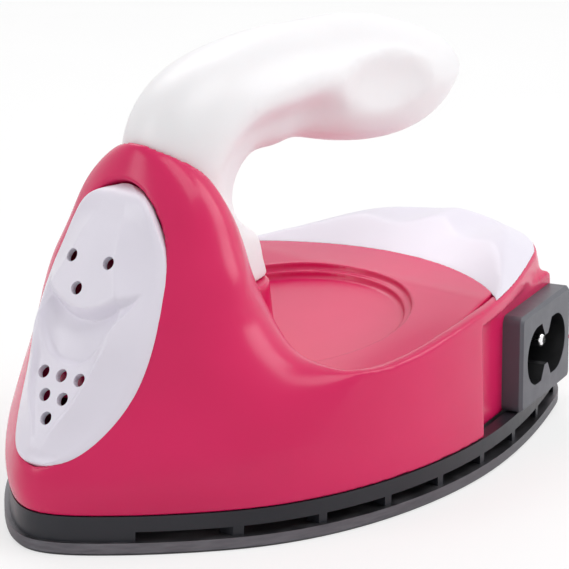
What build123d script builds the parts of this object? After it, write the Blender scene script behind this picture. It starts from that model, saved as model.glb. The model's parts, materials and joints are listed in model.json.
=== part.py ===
from build123d import *
import math
import os

# Mini craft iron, millimetres. Stations along X are measured from the nose tip towards the heel,
# +Y is the side away from the power inlet, and Z is measured up from the ironing face.
# Every piece is moved at the end, so that the origin is under the middle of the soleplate.

# Plan outline shared by soleplate, skirt and shell: shares of length and of half width, from the nose
# to the shoulder where the round heel begins.
plan_shares = [(0.0, 0.0), (0.041, 0.29), (0.115, 0.56), (0.193, 0.77), (0.30, 0.93), (0.44, 1.0),
               (0.60, 0.955), (0.76, 0.79), (0.90, 0.575)]

# Clearances
fit_gap = 0.1
seat_gap = 0.2
overrun = 1.0

# Soleplate
sole_length = 113.0
sole_half_width = 31.2
sole_thickness = 1.9
sole_edge_chamfer = 0.4
platform_height = 1.3
platform_inset = 6.5
post_radius = 3.6
post_top = 4.2
thread_bottom = 0.9

# Vented skirt
skirt_inset = 0.8
skirt_wall = 2.2
skirt_top = 5.6
slot_height = 1.4
slot_length = 10.6
slot_pitch = 11.9
slot_start = 8.6
slot_count = 8
lug_radius = 3.8

# Shell: lower body
shell_wall = 2.0
shell_foot_front = 0.9
shell_foot_rear = 112.0
shell_foot_inset = 0.9
belt_z = 12.6
belt_front = 0.7
belt_rear = 110.6
belt_inset = 1.0
deck_z = 23.6
deck_front = 6.4
deck_rear = 106.4
deck_inset = 1.4
middle_z = 18.2
middle_front = 3.4
middle_rear = 108.6
middle_inset = 1.2
shell_lug_top = 8.2
cavity_top = 20.0
opening_gap = 0.15

# Shell: hood, one row a level, bottom up:
# height, nose x, x of the widest place, half width, rear x, half width at the rear
hood_foot_rear = 36.8
hood_foot_halvings = 30
hood_foot_steps = 6
hood_level_1 = (24.5, 7.0, 29.5, 22.8, 36.9, 20.6)
hood_level_2 = (26.2, 8.2, 28.5, 20.6, 37.3, 15.2)
hood_level_3 = (29.4, 10.0, 27.5, 18.4, 37.8, 11.4)
hood_level_4 = (34.5, 12.8, 26.8, 16.7, 37.4, 9.3)
hood_level_5 = (39.6, 15.6, 26.4, 14.9, 35.8, 8.7)
hood_level_6 = (44.4, 18.0, 26.2, 12.8, 33.2, 8.4)
hood_level_7 = (48.4, 19.8, 26.0, 10.7, 31.0, 7.6)
hood_level_8 = (51.8, 21.3, 25.8, 7.6, 29.0, 5.6)
hood_level_9 = (54.0, 22.4, 25.2, 4.3, 27.0, 3.0)
hood_level_10 = (54.9, 23.2, 24.8, 1.7, 26.2, 1.2)
hood_levels = [hood_level_1, hood_level_2, hood_level_3, hood_level_4, hood_level_5,
               hood_level_6, hood_level_7, hood_level_8, hood_level_9, hood_level_10]
hood_roundness = [1.45, 1.65, 1.85, 2.0, 2.0, 2.0, 2.0, 2.0, 2.0, 2.0]
hood_rear_shares = [0.70, 0.70, 0.68, 0.60, 0.62, 0.68, 0.70, 0.70, 0.70, 0.70]
front_angles = [0, 22, 44, 66, 90]
hood_inset_step = 0.15
hood_floor = 28.5

# Neck under the handle foot
neck_top = 31.0
neck_rear = 48.4
neck_half_width = 7.4
neck_flare = 0.8
neck_front = 30.0
neck_bottom = 19.4
well_front = 26.0
well_rear = 46.8
well_half_width = 5.5

# Deck cover with its round dish
rim_width = 2.0
ledge_width = 1.6
ledge_z = 21.6
deck_drop = 0.3
deck_cover_front = 38.6
dish_x = 55.0
dish_radius = 19.8
dish_depth = 2.0
dish_floor = 1.4
dish_step = 1.1
dish_step_depth = 1.0

# Rear cap
cap_top_z = 33.0
cap_top_rear = 99.0
cap_top_half_width = 23.5
cap_lump_z = 32.1
cap_dip_z = 29.5
cap_dip_y = 6.0
cap_shoulder_z = 30.3
cap_shoulder_y = 12.0
cap_slope_z = 28.3
cap_slope_y = 18.0
cap_wing_z = 24.6
cap_wing_y = 25.5
cap_arc_center = 47.0
cap_arc_radius = 37.5
cap_ramp_run = 11.0
cap_tab_rear = 96.0
cap_tab_y = 5.0
cap_tab_length = 6.0
cap_tab_width = 1.4
cap_tab_drop = 3.0

# Front plate, on a plane that leans back along the nose
plate_foot_z = 12.6
plate_foot_x = 0.9
plate_lean = 30.0
plate_length = 42.4
plate_half_width = 11.4
plate_shares = [(0.0, 0.0), (0.035, 0.32), (0.12, 0.60), (0.28, 0.86), (0.50, 1.0), (0.70, 0.93),
                (0.86, 0.70),
                (0.965, 0.36), (1.0, 0.0)]
plate_proud = 0.7
plate_back = 1.7
plate_reach = 12.0
brow_s = 31.5
brow_half_length = 10.5
brow_half_width = 9.4
brow_rise = 2.2
brow_sink = 5.0
smile_tip_s = 28.6
smile_tip_y = 8.2
smile_upper_s = 23.4
smile_lower_s = 17.2
smile_depth = 1.5
panel_top_s = 16.8
panel_half_width = 7.0
panel_waist_s = 16.2
panel_foot_s = 3.8
hole_radius = 0.85
eye_s = 30.6
eye_y = 3.4
middle_hole_s = 26.2
row_s = 14.0
row_pitch = 3.4
hole_pitch = 3.4

# Handle: one row a station, from the foot to the free end: x, z, half height, half width
foot_station = (38.4, 31.0, 8.3, 7.0)
shin_station = (37.3, 34.5, 8.15, 7.1)
post_station = (36.0, 38.0, 8.1, 7.2)
throat_station = (32.7, 49.6, 10.1, 7.9)
rise_station = (36.9, 55.2, 10.3, 8.5)
arch_station = (44.8, 57.7, 9.5, 8.8)
arm_station = (54.0, 58.4, 8.8, 8.8)
pad_start_station = (63.8, 57.3, 9.4, 8.8)
pad_station = (75.3, 55.8, 9.7, 8.9)
pad_rear_station = (85.6, 54.4, 7.9, 7.6)
round_station = (92.0, 53.9, 5.3, 5.2)
end_station = (95.0, 53.7, 2.9, 2.9)
tip_station = (96.1, 53.65, 0.9, 0.9)
handle_leans = [90, 90, 90, 62, 48, 28, 8, 1, -2, -4, -4, -4, -4]
handle_low_shares = [0.80, 0.80, 0.80, 0.76, 0.66, 0.60, 0.62, 0.86, 0.86, 0.84, 0.82, 0.80, 0.80]
flank_low_shares = [(0.30, -0.965), (0.66, -0.78), (0.96, -0.38)]
flank_high_shares = [(1.0, 0.06), (0.88, 0.52), (0.52, 0.87)]
handle_stations = [foot_station, shin_station, post_station, throat_station, rise_station, arch_station,
                   arm_station,
                   pad_start_station, pad_station, pad_rear_station, round_station, end_station, tip_station]
grip_dish_x = 70.5
grip_dish_z = 55.6
grip_dish_length = 15.0
grip_dish_height = 9.4
grip_dish_bulge = 5.0
grip_dish_depth = 2.0

# Power inlet, on the near side towards the heel
inlet_x = 80.6
inlet_inset = 4.6
inlet_turn = 16.0
inlet_width = 21.4
inlet_height = 15.2
inlet_proud = 3.3
inlet_corner = 1.2
inlet_bevel = 0.5
inlet_body_side_margin = 1.2
inlet_body_top_margin = 2.0
inlet_body_depth = 13.0
inlet_seat_depth = 6.0
facet_lead = 12.0
facet_margin = 0.6
facet_reach = 8.0
socket_depth = 10.6
socket_lobe_radius = 4.6
socket_lobe_offset = 3.8
tooth_rim_half_width = 2.2
tooth_tip_half_width = 0.65
tooth_gap = 4.8
pin_spacing = 8.6
pin_radius = 1.2
pin_below_face = 2.0
pin_tip_round = 0.6
pin_collar_radius = 2.0
pin_collar_height = 0.8
pin_tail_radius = 0.8
pin_tail = 3.6
clip_thickness = 1.0
clip_margin = 0.9
barb_height = 0.6
barb_length = 1.2
barb_width = 6.0

# Heel studs
stud_radius = 1.2
stud_y = 12.5
stud_z = 8.6
stud_tip_x = 111.3
stud_length = 6.0

# Heater stack
heater_x = 46.0
tile_length = 16.0
tile_width = 14.0
tile_height = 2.4
tile_gap = 1.0
film_height = 0.3
film_margin = 1.5
electrode_height = 0.4
tab_reach = 8.0
tab_width = 4.4
tab_inset = 1.0
clamp_length = 50.0
clamp_width = 12.0
clamp_height = 1.2
clamp_screw_pitch = 45.0
clamp_foot = 6.5

# Screws
screw_radius = 1.5
screw_head_radius = 2.75
screw_head_height = 1.9
screw_head_round = 0.5
driver_slot_width = 0.8
driver_slot_depth = 0.9
screw_play = 0.1
base_front_x = 16.0
base_side_x = 60.0
base_side_y = 22.4
base_rear_x = 98.0
driver_bore = 3.2
foot_screw_front_x = 33.5
foot_screw_rear_x = 42.5
foot_screw_y = 3.0
foot_screw_length = 9.0
grip_screw_low_x = 37.0
grip_screw_low_z = 47.5
grip_screw_high_x = 84.5
grip_screw_high_z = 54.4
grip_seat_y = 4.2
grip_screw_length = 8.0
grip_screw_radius = 1.2
grip_head_radius = 2.2
grip_head_height = 1.5

# Thermal fuse and leads
fuse_x = 47.0
fuse_radius = 1.9
fuse_length = 11.0
fuse_wire_radius = 0.5
fuse_wire_length = 8.0
sleeve_radius = 2.8
sleeve_wall = 0.6
sleeve_length = 18.0
sleeve_seat_gap = 0.05
strap_width = 4.0
strap_thickness = 0.6
strap_foot = 2.0
lead_radius = 0.9
live_lead_bend = (73.5, -1.0, 12.0)
fuse_lead_bend = (20.5, -6.8, 10.2)
neutral_lead_bend = (82.0, 9.0, 9.5)
crimp_radius = 1.7
crimp_play = 0.3
crimp_length = 4.0
crimp_block_width = 3.6
crimp_block_height = 3.0

# Heights and places that follow from the sizes above
sole_top = sole_thickness
platform_top = sole_top + platform_height
lower_electrode_z = platform_top + film_height
tile_z = lower_electrode_z + electrode_height
upper_electrode_z = tile_z + tile_height
upper_film_z = upper_electrode_z + electrode_height
clamp_z = upper_film_z + film_height
clamp_top = clamp_z + clamp_height
shell_foot_half_width = sole_half_width - shell_foot_inset
belt_half_width = sole_half_width - belt_inset
middle_half_width = sole_half_width - middle_inset
deck_half_width = sole_half_width - deck_inset
inlet_y = inlet_inset - sole_half_width
inlet_bottom = skirt_top + fit_gap
inlet_middle_z = inlet_bottom + inlet_height / 2
stack_length = 2 * tile_length + tile_gap


def centered(part):
    """Move a piece so that the origin lies under the middle of the soleplate."""
    return Pos(-sole_length / 2, 0, 0) * part


def save(name, part, solids=1):
    """Write one piece and say what it holds."""
    moved = centered(part)
    found = len(moved.solids())
    print(name, "solids", found, "volume", round(moved.volume, 1))
    if found != solids:
        print("  expected", solids)
    export_step(moved, "parts/" + name + ".step")


def plan_curve(front, rear, half_width, z):
    """The plan outline from one heel shoulder round the nose to the other."""
    points = [(front + along * (rear - front), across * half_width, z) for along, across in plan_shares]
    mirrored = [(x, -y, z) for x, y, z in reversed(points[1:])]
    return Spline(mirrored + points)


def plan_face(front, rear, half_width, z):
    """The closed plan outline at a height, with its round heel."""
    curve = plan_curve(front, rear, half_width, z)
    heel = ThreePointArc(curve @ 1, (rear, 0, z), curve @ 0)
    return make_face([curve, heel])


def plan_prism(front, rear, half_width, bottom, top):
    """The plan outline as an upright block."""
    return extrude(plan_face(front, rear, half_width, bottom), amount=top - bottom, dir=(0, 0, 1))


def upright(radius, x, y, bottom, top):
    """An upright round bar between two heights."""
    return Pos(x, y, bottom) * Cylinder(radius, top - bottom, align=(Align.CENTER, Align.CENTER, Align.MIN))


def block(x0, x1, y0, y1, z0, z1):
    """A box given by its faces."""
    return Pos(x0, y0, z0) * Box(x1 - x0, y1 - y0, z1 - z0, align=(Align.MIN, Align.MIN, Align.MIN))


def base_screw_places():
    """Plan places of the four screws that hold shell, skirt and soleplate together."""
    return [(base_front_x, 0), (base_side_x, base_side_y), (base_side_x, -base_side_y), (base_rear_x, 0)]


def clamp_screw_places():
    """Plan places of the two screws of the heater clamp."""
    return [(heater_x - clamp_screw_pitch / 2, 0), (heater_x + clamp_screw_pitch / 2, 0)]


def build_soleplate():
    edge = sole_edge_chamfer
    plate = plan_prism(0, sole_length, sole_half_width, edge, sole_top)
    plate += loft([plan_face(edge, sole_length - edge, sole_half_width - edge, 0),
                   plan_face(0, sole_length, sole_half_width, edge)], ruled=True)
    inset = platform_inset
    plate += plan_prism(inset, sole_length - inset, sole_half_width - inset, sole_top, platform_top)
    for x, y in base_screw_places():
        plate += upright(post_radius, x, y, sole_top / 2, post_top)
    for x, y in base_screw_places():
        plate -= upright(screw_radius + screw_play, x, y, thread_bottom, post_top + overrun)
    for x, y in clamp_screw_places():
        plate -= upright(screw_radius + screw_play, x, y, thread_bottom, platform_top + overrun)
    return plate


def build_skirt():
    front, rear, half_width = skirt_inset, sole_length - skirt_inset, sole_half_width - skirt_inset
    skirt = plan_prism(front, rear, half_width, sole_top, skirt_top)
    wall = skirt_wall
    skirt -= plan_prism(front + wall, rear - wall, half_width - wall, sole_top - overrun, skirt_top + overrun)
    inner = plan_prism(front + wall / 2, rear - wall / 2, half_width - wall / 2, post_top, skirt_top)
    lugs = upright(lug_radius, base_front_x, 0, post_top, skirt_top)
    lugs += block(0, base_front_x, -lug_radius, lug_radius, post_top, skirt_top)
    for side in (1, -1):
        lugs += upright(lug_radius, base_side_x, side * base_side_y, post_top, skirt_top)
        web = block(base_side_x - lug_radius, base_side_x + lug_radius, 0, sole_half_width - base_side_y,
                    post_top, skirt_top)
        lugs += Pos(0, base_side_y if side > 0 else -sole_half_width, 0) * web
    lugs += upright(lug_radius, base_rear_x, 0, post_top, skirt_top)
    lugs += block(base_rear_x, sole_length, -lug_radius, lug_radius, post_top, skirt_top)
    for i in range(slot_count):
        x = slot_start + i * slot_pitch
        skirt -= block(x, x + slot_length, -sole_half_width, sole_half_width, sole_top - overrun,
                       sole_top + slot_height)
    skirt += lugs & inner
    for x, y in base_screw_places():
        skirt -= upright(screw_radius + screw_play, x, y, sole_top, skirt_top + overrun)
    return skirt


def tub(inset, bottom, top):
    """Lower body of the shell, its four plan outlines drawn in by the inset."""
    rows = [(skirt_top, shell_foot_front, shell_foot_rear, shell_foot_half_width),
            (belt_z, belt_front, belt_rear, belt_half_width),
            (middle_z, middle_front, middle_rear, middle_half_width),
            (deck_z, deck_front, deck_rear, deck_half_width)]
    faces = [plan_face(front + inset, rear - inset, half - inset, z) for z, front, rear, half in rows]
    body = loft(faces)
    if bottom > skirt_top or top < deck_z:
        body &= block(-overrun, sole_length + overrun, -sole_half_width, sole_half_width, bottom, top)
    return body


def hood_side_points(level, roundness, rear_share, grow):
    """Half an outline of the hood, from the nose back to its rear corner."""
    z, nose, widest, half_width, rear, rear_half = level
    nose, half_width, rear_half = nose - grow, half_width + grow, rear_half + grow
    rear += min(grow, 0)
    points = []
    for angle in front_angles:
        back = math.cos(math.radians(angle)) ** (2 / roundness)
        out = math.sin(math.radians(angle)) ** (2 / roundness)
        points.append((widest - (widest - nose) * back, half_width * out, z))
    side_half = rear_half + (half_width - rear_half) * rear_share
    points.append((widest + (rear - widest) * rear_share, side_half, z))
    points.append((rear, rear_half, z))
    return points


def hood_foot_points(grow):
    """The same for the lowest outline, which follows the top edge of the lower body."""
    curve = plan_curve(deck_front, deck_rear, deck_half_width, deck_z)
    nose_share = 1 / 2
    low_share, high_share = nose_share, 1
    for step in range(hood_foot_halvings):
        middle_share = (low_share + high_share) / 2
        if (curve @ middle_share).X < hood_foot_rear:
            low_share = middle_share
        else:
            high_share = middle_share
    points = []
    for i in range(hood_foot_steps + 1):
        share = nose_share + (low_share - nose_share) * i / hood_foot_steps
        place = curve @ share
        way = curve % share
        points.append((place.X - way.Y * grow, place.Y + way.X * grow, deck_z))
    points[0] = (points[0][0], 0, deck_z)
    return points


def hood_face(points):
    """Close a half outline with its mirror image and a straight line across the rear."""
    mirrored = [(x, -y, z) for x, y, z in reversed(points[1:])]
    curve = Spline(mirrored + points)
    back = Line(points[-1], mirrored[0])
    return make_face([curve, back])


def hood(grow):
    """The dome in front of the handle, its outline grown by a distance."""
    faces = [hood_face(hood_foot_points(grow - hood_inset_step))]
    for level, roundness, rear_share in zip(hood_levels, hood_roundness, hood_rear_shares):
        faces.append(hood_face(hood_side_points(level, roundness, rear_share, grow)))
    return loft(faces)


def station_face(station, lean, low_share, grow):
    """One closed cross-section of the handle."""
    x, z, half_height, half_width = station
    height, width = half_height + grow, half_width + grow
    plane = Plane(origin=(x, 0, z), x_dir=(0, 1, 0),
                  z_dir=(math.cos(math.radians(lean)), 0, math.sin(math.radians(lean))))
    points = [(0, -height)]
    points += [(across * low_share * width, up * height) for across, up in flank_low_shares]
    points += [(across * width, up * height) for across, up in flank_high_shares]
    points += [(0, height)]
    mirrored = [(-u, v) for u, v in reversed(points[:-1])]
    return plane * make_face(Spline(points + mirrored))


def handle_body(grow=0.0):
    """The whole handle from its foot to its round free end."""
    rows = zip(handle_stations, handle_leans, handle_low_shares)
    return loft([station_face(station, lean, low_share, grow) for station, lean, low_share in rows])


def half_plane(side):
    """A block that holds everything on one side of the middle plane."""
    reach = 2 * sole_length
    return Pos(0, side * reach / 2, 0) * Box(2 * reach, reach, 2 * reach)


def grip_dish(side):
    """The shallow oval hollow for a fingertip in one flank of the handle."""
    x, z, half_height, half_width = pad_station
    bowl = scale(Sphere(1), by=(grip_dish_length, grip_dish_bulge, grip_dish_height))
    return Pos(grip_dish_x, side * (half_width + grip_dish_bulge - grip_dish_depth), grip_dish_z) * bowl


def foot_screw_places():
    """Plan places of the two screws that come up into the handle foot."""
    return [(foot_screw_front_x, foot_screw_y), (foot_screw_rear_x, -foot_screw_y)]


def grip_screw_places():
    """Side-view places of the two screws that join the handle halves."""
    return [(grip_screw_low_x, grip_screw_low_z), (grip_screw_high_x, grip_screw_high_z)]


def sideways(radius, x, z, y0, y1):
    """A round bar along Y."""
    bar = Cylinder(radius, y1 - y0, align=(Align.CENTER, Align.CENTER, Align.MIN))
    return Pos(x, y0, z) * Rot(-90, 0, 0) * bar


def build_handle_half(whole, side):
    half = (whole - grip_dish(side)) & half_plane(side)
    for x, z in grip_screw_places():
        tip = grip_seat_y - grip_screw_length
        half -= sideways(grip_screw_radius + screw_play, x, z, tip - screw_play, grip_seat_y + overrun)
        if side > 0:
            half -= sideways(grip_head_radius + screw_play, x, z, grip_seat_y, pad_station[3] + overrun)
    for x, y in foot_screw_places():
        top = hood_floor + foot_screw_length
        half -= upright(grip_screw_radius + screw_play, x, y, hood_floor, top + screw_play)
    return half


def neck_face(grow, z):
    """Plan outline of the neck under the handle foot: straight sides and a round rear."""
    half_width = neck_half_width + grow
    shoulder = neck_rear - neck_half_width
    side = Line((neck_front, half_width, z), (shoulder, half_width, z))
    rear = ThreePointArc((shoulder, half_width, z), (shoulder + half_width, 0, z), (shoulder, -half_width, z))
    other = Line((shoulder, -half_width, z), (neck_front, -half_width, z))
    front = Line((neck_front, -half_width, z), (neck_front, half_width, z))
    return make_face([side, rear, other, front])


def neck(grow):
    """The neck: straight below the deck, drawn in above it up to the seat of the handle foot."""
    low = neck_flare + grow
    body = extrude(neck_face(low, neck_bottom), amount=deck_z - neck_bottom, dir=(0, 0, 1))
    return body + loft([neck_face(low, deck_z), neck_face(grow, neck_top)], ruled=True)


def deck_recess(inset, bottom, top, front):
    """The space inside the deck's rim, from a front line back to the heel."""
    outline = plan_prism(deck_front + inset, deck_rear - inset, deck_half_width - inset, bottom, top)
    return outline & block(front, sole_length, -sole_half_width, sole_half_width, bottom, top)


def inlet_place(along, inward, z):
    """The frame of the inlet: X along its face, Z into the body, at a height."""
    turn = math.radians(inlet_turn)
    x = inlet_x + along * math.cos(turn) - inward * math.sin(turn)
    y = inlet_y + along * math.sin(turn) + inward * math.cos(turn)
    return Plane(origin=(x, y, z), x_dir=(math.cos(turn), math.sin(turn), 0),
                 z_dir=(-math.sin(turn), math.cos(turn), 0))


def inlet_block(side_margin, top_margin, start, end):
    """A block with the outline of the inlet drawn in by two margins, between two depths."""
    plane = inlet_place(inlet_width / 2, start, inlet_middle_z)
    sketch = RectangleRounded(inlet_width - 2 * side_margin, inlet_height - 2 * top_margin, inlet_corner)
    return extrude(plane * sketch, amount=end - start)


def inlet_body(grow, start, end):
    """The part of the inlet that goes through the wall, grown by a distance."""
    return inlet_block(inlet_body_side_margin - grow, inlet_body_top_margin - grow, start, end)


def inlet_slab(start, end):
    """A slab beside the inlet between two depths, longer than the inlet by the flat stretch of wall."""
    length = inlet_width + 2 * facet_lead
    height = inlet_bottom + inlet_height + facet_margin - skirt_top
    plane = inlet_place(inlet_width / 2, start, skirt_top + height / 2)
    return extrude(plane * Rectangle(length, height), amount=end - start)


def plate_frame():
    """The plane of the front plate: X across, Y up the slope, Z out of the nose."""
    lean = math.radians(plate_lean)
    return Plane(origin=(plate_foot_x, 0, plate_foot_z), x_dir=(0, -1, 0),
                 z_dir=(-math.cos(lean), 0, math.sin(lean)))


def plate_outline(grow):
    """Egg-shaped outline of the front plate, drawn flat."""
    points = []
    for up, across in plate_shares:
        points.append((across * (plate_half_width + grow), up * (plate_length + 2 * grow) - grow))
    mirrored = [(-u, v) for u, v in reversed(points[1:-1])]
    return make_face(Spline(points + mirrored + points[:1]))


def plate_prism(grow, back, front):
    """The plate outline as a block, from a depth behind its plane to a height before it."""
    face = Pos(0, 0, -back) * plate_outline(grow)
    return plate_frame() * extrude(face, amount=back + front)


def build_body_shell(handle_space):
    shell = tub(0, skirt_top, deck_z) + hood(0) + neck(0)
    shell -= inlet_slab(inlet_proud - facet_reach, inlet_proud)
    shell += inlet_block(0, 0, inlet_proud, inlet_proud + inlet_seat_depth)
    seat = inlet_block(0, 0, inlet_proud, inlet_proud + inlet_seat_depth)
    flat_wall = inlet_slab(inlet_proud, inlet_proud + shell_wall)
    shell -= tub(shell_wall, skirt_top - overrun, cavity_top) - seat - flat_wall
    shell -= inlet_body(fit_gap, 0, inlet_body_depth)
    shell -= deck_recess(rim_width, ledge_z, deck_z + overrun, deck_cover_front) - neck(0)
    through_front = deck_cover_front + ledge_width
    through = deck_recess(rim_width + ledge_width, cavity_top - overrun, ledge_z, through_front)
    shell -= through - neck(0)
    pan = upright(dish_radius + dish_floor + seat_gap, dish_x, 0, cavity_top - overrun, ledge_z)
    pan &= deck_recess(rim_width + ledge_width, cavity_top - overrun, ledge_z, deck_cover_front)
    shell -= pan - neck(0)
    shell -= block(well_front, well_rear, -well_half_width, well_half_width,
                   neck_bottom - overrun, hood_floor)
    shell -= handle_space
    shell -= plate_prism(fit_gap, plate_back, plate_reach)
    lugs = upright(lug_radius, base_front_x, 0, skirt_top, shell_lug_top)
    lugs += block(0, base_front_x, -lug_radius, lug_radius, skirt_top, shell_lug_top)
    for side in (1, -1):
        lugs += upright(lug_radius, base_side_x, side * base_side_y, skirt_top, shell_lug_top)
        web = block(base_side_x - lug_radius, base_side_x + lug_radius, 0, sole_half_width - base_side_y,
                    skirt_top, shell_lug_top)
        lugs += Pos(0, base_side_y if side > 0 else -sole_half_width, 0) * web
    lugs += upright(lug_radius, base_rear_x, 0, skirt_top, shell_lug_top)
    lugs += block(base_rear_x, sole_length, -lug_radius, lug_radius, skirt_top, shell_lug_top)
    shell += lugs & tub(shell_wall / 2, skirt_top, cavity_top)
    for x, y in base_screw_places():
        shell -= upright(screw_radius + screw_play, x, y, skirt_top - overrun, shell_lug_top + overrun)
    shell -= upright(driver_bore, base_front_x, 0, shell_lug_top, neck_top)
    for x, y in foot_screw_places():
        shell -= upright(grip_screw_radius + screw_play, x, y, hood_floor - overrun, neck_top + overrun)
    for side in (1, -1):
        stud = Pos(stud_tip_x - stud_length, side * stud_y, stud_z) * Rot(0, 90, 0) * Cylinder(
            stud_radius, stud_length, align=(Align.CENTER, Align.CENTER, Align.MIN))
        shell += stud
    return shell


def build_deck_cover():
    top = deck_z - deck_drop
    gap = opening_gap
    cover = deck_recess(rim_width + gap, ledge_z, top, deck_cover_front + gap)
    pan = upright(dish_radius + dish_floor, dish_x, 0, top - dish_depth - dish_floor, top)
    pan &= deck_recess(rim_width + ledge_width + gap, cavity_top - overrun, top, deck_cover_front + gap)
    cover += pan
    cover -= upright(dish_radius, dish_x, 0, top - dish_step_depth, top + overrun)
    cover -= upright(dish_radius - dish_step, dish_x, 0, top - dish_depth, top + overrun)
    cover -= neck(gap)
    for side in (1, -1):
        cover -= tab_block(side, fit_gap)
    return cover


def tab_block(side, grow):
    """One of the rear cap's two tabs, which go down through the deck cover."""
    rear = cap_tab_rear
    front = rear - cap_tab_width
    y0 = min(side * cap_tab_y, side * (cap_tab_y + cap_tab_length))
    return block(front - grow, rear + grow, y0 - grow, y0 + cap_tab_length + grow,
                 deck_z - cap_tab_drop - grow, deck_z)


def cap_crest():
    """The crest seen from behind, as a prism along X: wings, slopes, shoulders, dips and a middle lump."""
    half = [(0, cap_lump_z), (cap_dip_y, cap_dip_z), (cap_shoulder_y, cap_shoulder_z),
            (cap_slope_y, cap_slope_z), (cap_wing_y, cap_wing_z)]
    points = [(-y, z) for y, z in reversed(half[1:])] + half
    back = Plane(origin=(sole_length, 0, 0), x_dir=(0, 1, 0), z_dir=(1, 0, 0))
    crest = Spline(points)
    side = Line(points[-1], (sole_half_width, cap_wing_z))
    down = Line((sole_half_width, cap_wing_z), (sole_half_width, 0))
    floor = Line((sole_half_width, 0), (-sole_half_width, 0))
    up = Line((-sole_half_width, 0), (-sole_half_width, cap_wing_z))
    other = Line((-sole_half_width, cap_wing_z), points[0])
    face = back * make_face([crest, side, down, floor, up, other])
    return extrude(face, amount=-sole_length)


def build_rear_cap():
    foot = plan_face(deck_front, deck_rear, deck_half_width, deck_z)
    top = plan_face(deck_front, cap_top_rear, cap_top_half_width, cap_top_z)
    cap = loft([foot, top], ruled=True)
    cone = Pos(cap_arc_center, 0, deck_z) * Cone(
        cap_arc_radius, cap_arc_radius + cap_ramp_run, cap_top_z - deck_z,
        align=(Align.CENTER, Align.CENTER, Align.MIN))
    cap -= cone
    cap &= block(cap_arc_center, sole_length, -sole_half_width, sole_half_width, deck_z, cap_top_z)
    cap &= cap_crest()
    for side in (1, -1):
        cap += tab_block(side, 0)
    return cap


def plate_hole_places():
    """Places of the small round holes: two eyes and one below them, then rows of three, two and one."""
    places = [(eye_y, eye_s), (-eye_y, eye_s), (0, middle_hole_s)]
    for row in range(3):
        count = 3 - row
        for i in range(count):
            places.append(((i - (count - 1) / 2) * hole_pitch, row_s - row * row_pitch))
    return places


def build_front_plate():
    outer = tub(-plate_proud, skirt_top, deck_z) + hood(plate_proud)
    frame = plate_frame()
    brow = scale(Sphere(1), by=(brow_half_width, brow_half_length, brow_sink + brow_rise))
    outer += frame * (Pos(0, brow_s, -brow_sink) * brow)
    plate = plate_prism(0, plate_back, plate_reach) & outer
    upper = ThreePointArc((smile_tip_y, smile_tip_s), (0, smile_upper_s), (-smile_tip_y, smile_tip_s))
    lower = ThreePointArc((-smile_tip_y, smile_tip_s), (0, smile_lower_s), (smile_tip_y, smile_tip_s))
    tilt = math.degrees(math.atan2(smile_depth, smile_upper_s - smile_lower_s))
    smile = Pos(0, smile_lower_s, plate_proud) * Rot(-tilt, 0, 0) * Pos(0, -smile_lower_s, 0)
    plate -= frame * (smile * extrude(make_face([upper, lower]), amount=plate_reach))
    left = Line((-panel_half_width, panel_top_s), (0, panel_foot_s))
    right = Line((0, panel_foot_s), (panel_half_width, panel_top_s))
    lid = ThreePointArc((panel_half_width, panel_top_s), (0, panel_waist_s), (-panel_half_width, panel_top_s))
    panel = Pos(0, 0, -plate_back) * extrude(make_face([left, right, lid]), amount=plate_back + plate_reach)
    plate -= frame * panel - (tub(0, skirt_top, deck_z) + hood(0))
    for across, up in plate_hole_places():
        plate -= frame * (Pos(across, up, 0) * Cylinder(hole_radius, 2 * plate_reach))
    return plate


def socket_cut():
    """The figure-eight recess of the inlet, with a pointed tooth above and below its waist."""
    plane = inlet_place(inlet_width / 2, 0, inlet_middle_z)
    sketch = Rectangle(2 * socket_lobe_offset, 2 * socket_lobe_radius)
    for side in (1, -1):
        sketch += Pos(side * socket_lobe_offset, 0) * Circle(socket_lobe_radius)
    for side in (1, -1):
        rim, tip = side * (socket_lobe_radius + fit_gap), side * tooth_gap / 2
        sketch -= make_face(Polyline((-tooth_rim_half_width, rim), (-tooth_tip_half_width, tip),
                                     (tooth_tip_half_width, tip), (tooth_rim_half_width, rim), close=True))
    return extrude(plane * sketch, amount=socket_depth)


def pin_bar(side, radius, start, end):
    """A round bar along the axis of one inlet pin, between two depths behind the face."""
    plane = inlet_place(inlet_width / 2 + side * pin_spacing / 2, start, inlet_middle_z)
    return extrude(plane * Circle(radius), amount=end - start)


def build_inlet_housing():
    face_block = inlet_block(0, 0, 0, inlet_proud)
    front = inlet_place(inlet_width / 2, 0, inlet_middle_z)
    rim = face_block.faces().sort_by_distance(front.origin)[0]
    face_block = chamfer(rim.outer_wire().edges(), inlet_bevel)
    housing = face_block + inlet_body(0, inlet_proud, inlet_body_depth)
    start = inlet_proud + inlet_seat_depth + clip_thickness + fit_gap
    plane = inlet_place(inlet_width / 2, start, inlet_middle_z)
    height = inlet_height - 2 * inlet_body_top_margin + 2 * barb_height
    barbs = extrude(plane * Rectangle(barb_width, height), amount=barb_length)
    housing += barbs
    housing -= socket_cut()
    for side in (1, -1):
        housing -= pin_bar(side, pin_radius + screw_play, socket_depth - overrun, inlet_body_depth + overrun)
    return housing


def build_inlet_pin(side):
    pin = pin_bar(side, pin_radius, pin_below_face, inlet_body_depth)
    plane = inlet_place(inlet_width / 2 + side * pin_spacing / 2, pin_below_face, inlet_middle_z)
    tip = pin.faces().sort_by_distance(plane.origin)[0]
    pin = fillet(tip.outer_wire().edges(), pin_tip_round)
    collar_end = inlet_body_depth + pin_collar_height
    pin += pin_bar(side, pin_collar_radius, inlet_body_depth, collar_end)
    return pin + pin_bar(side, pin_tail_radius, collar_end, collar_end + pin_tail)


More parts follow.
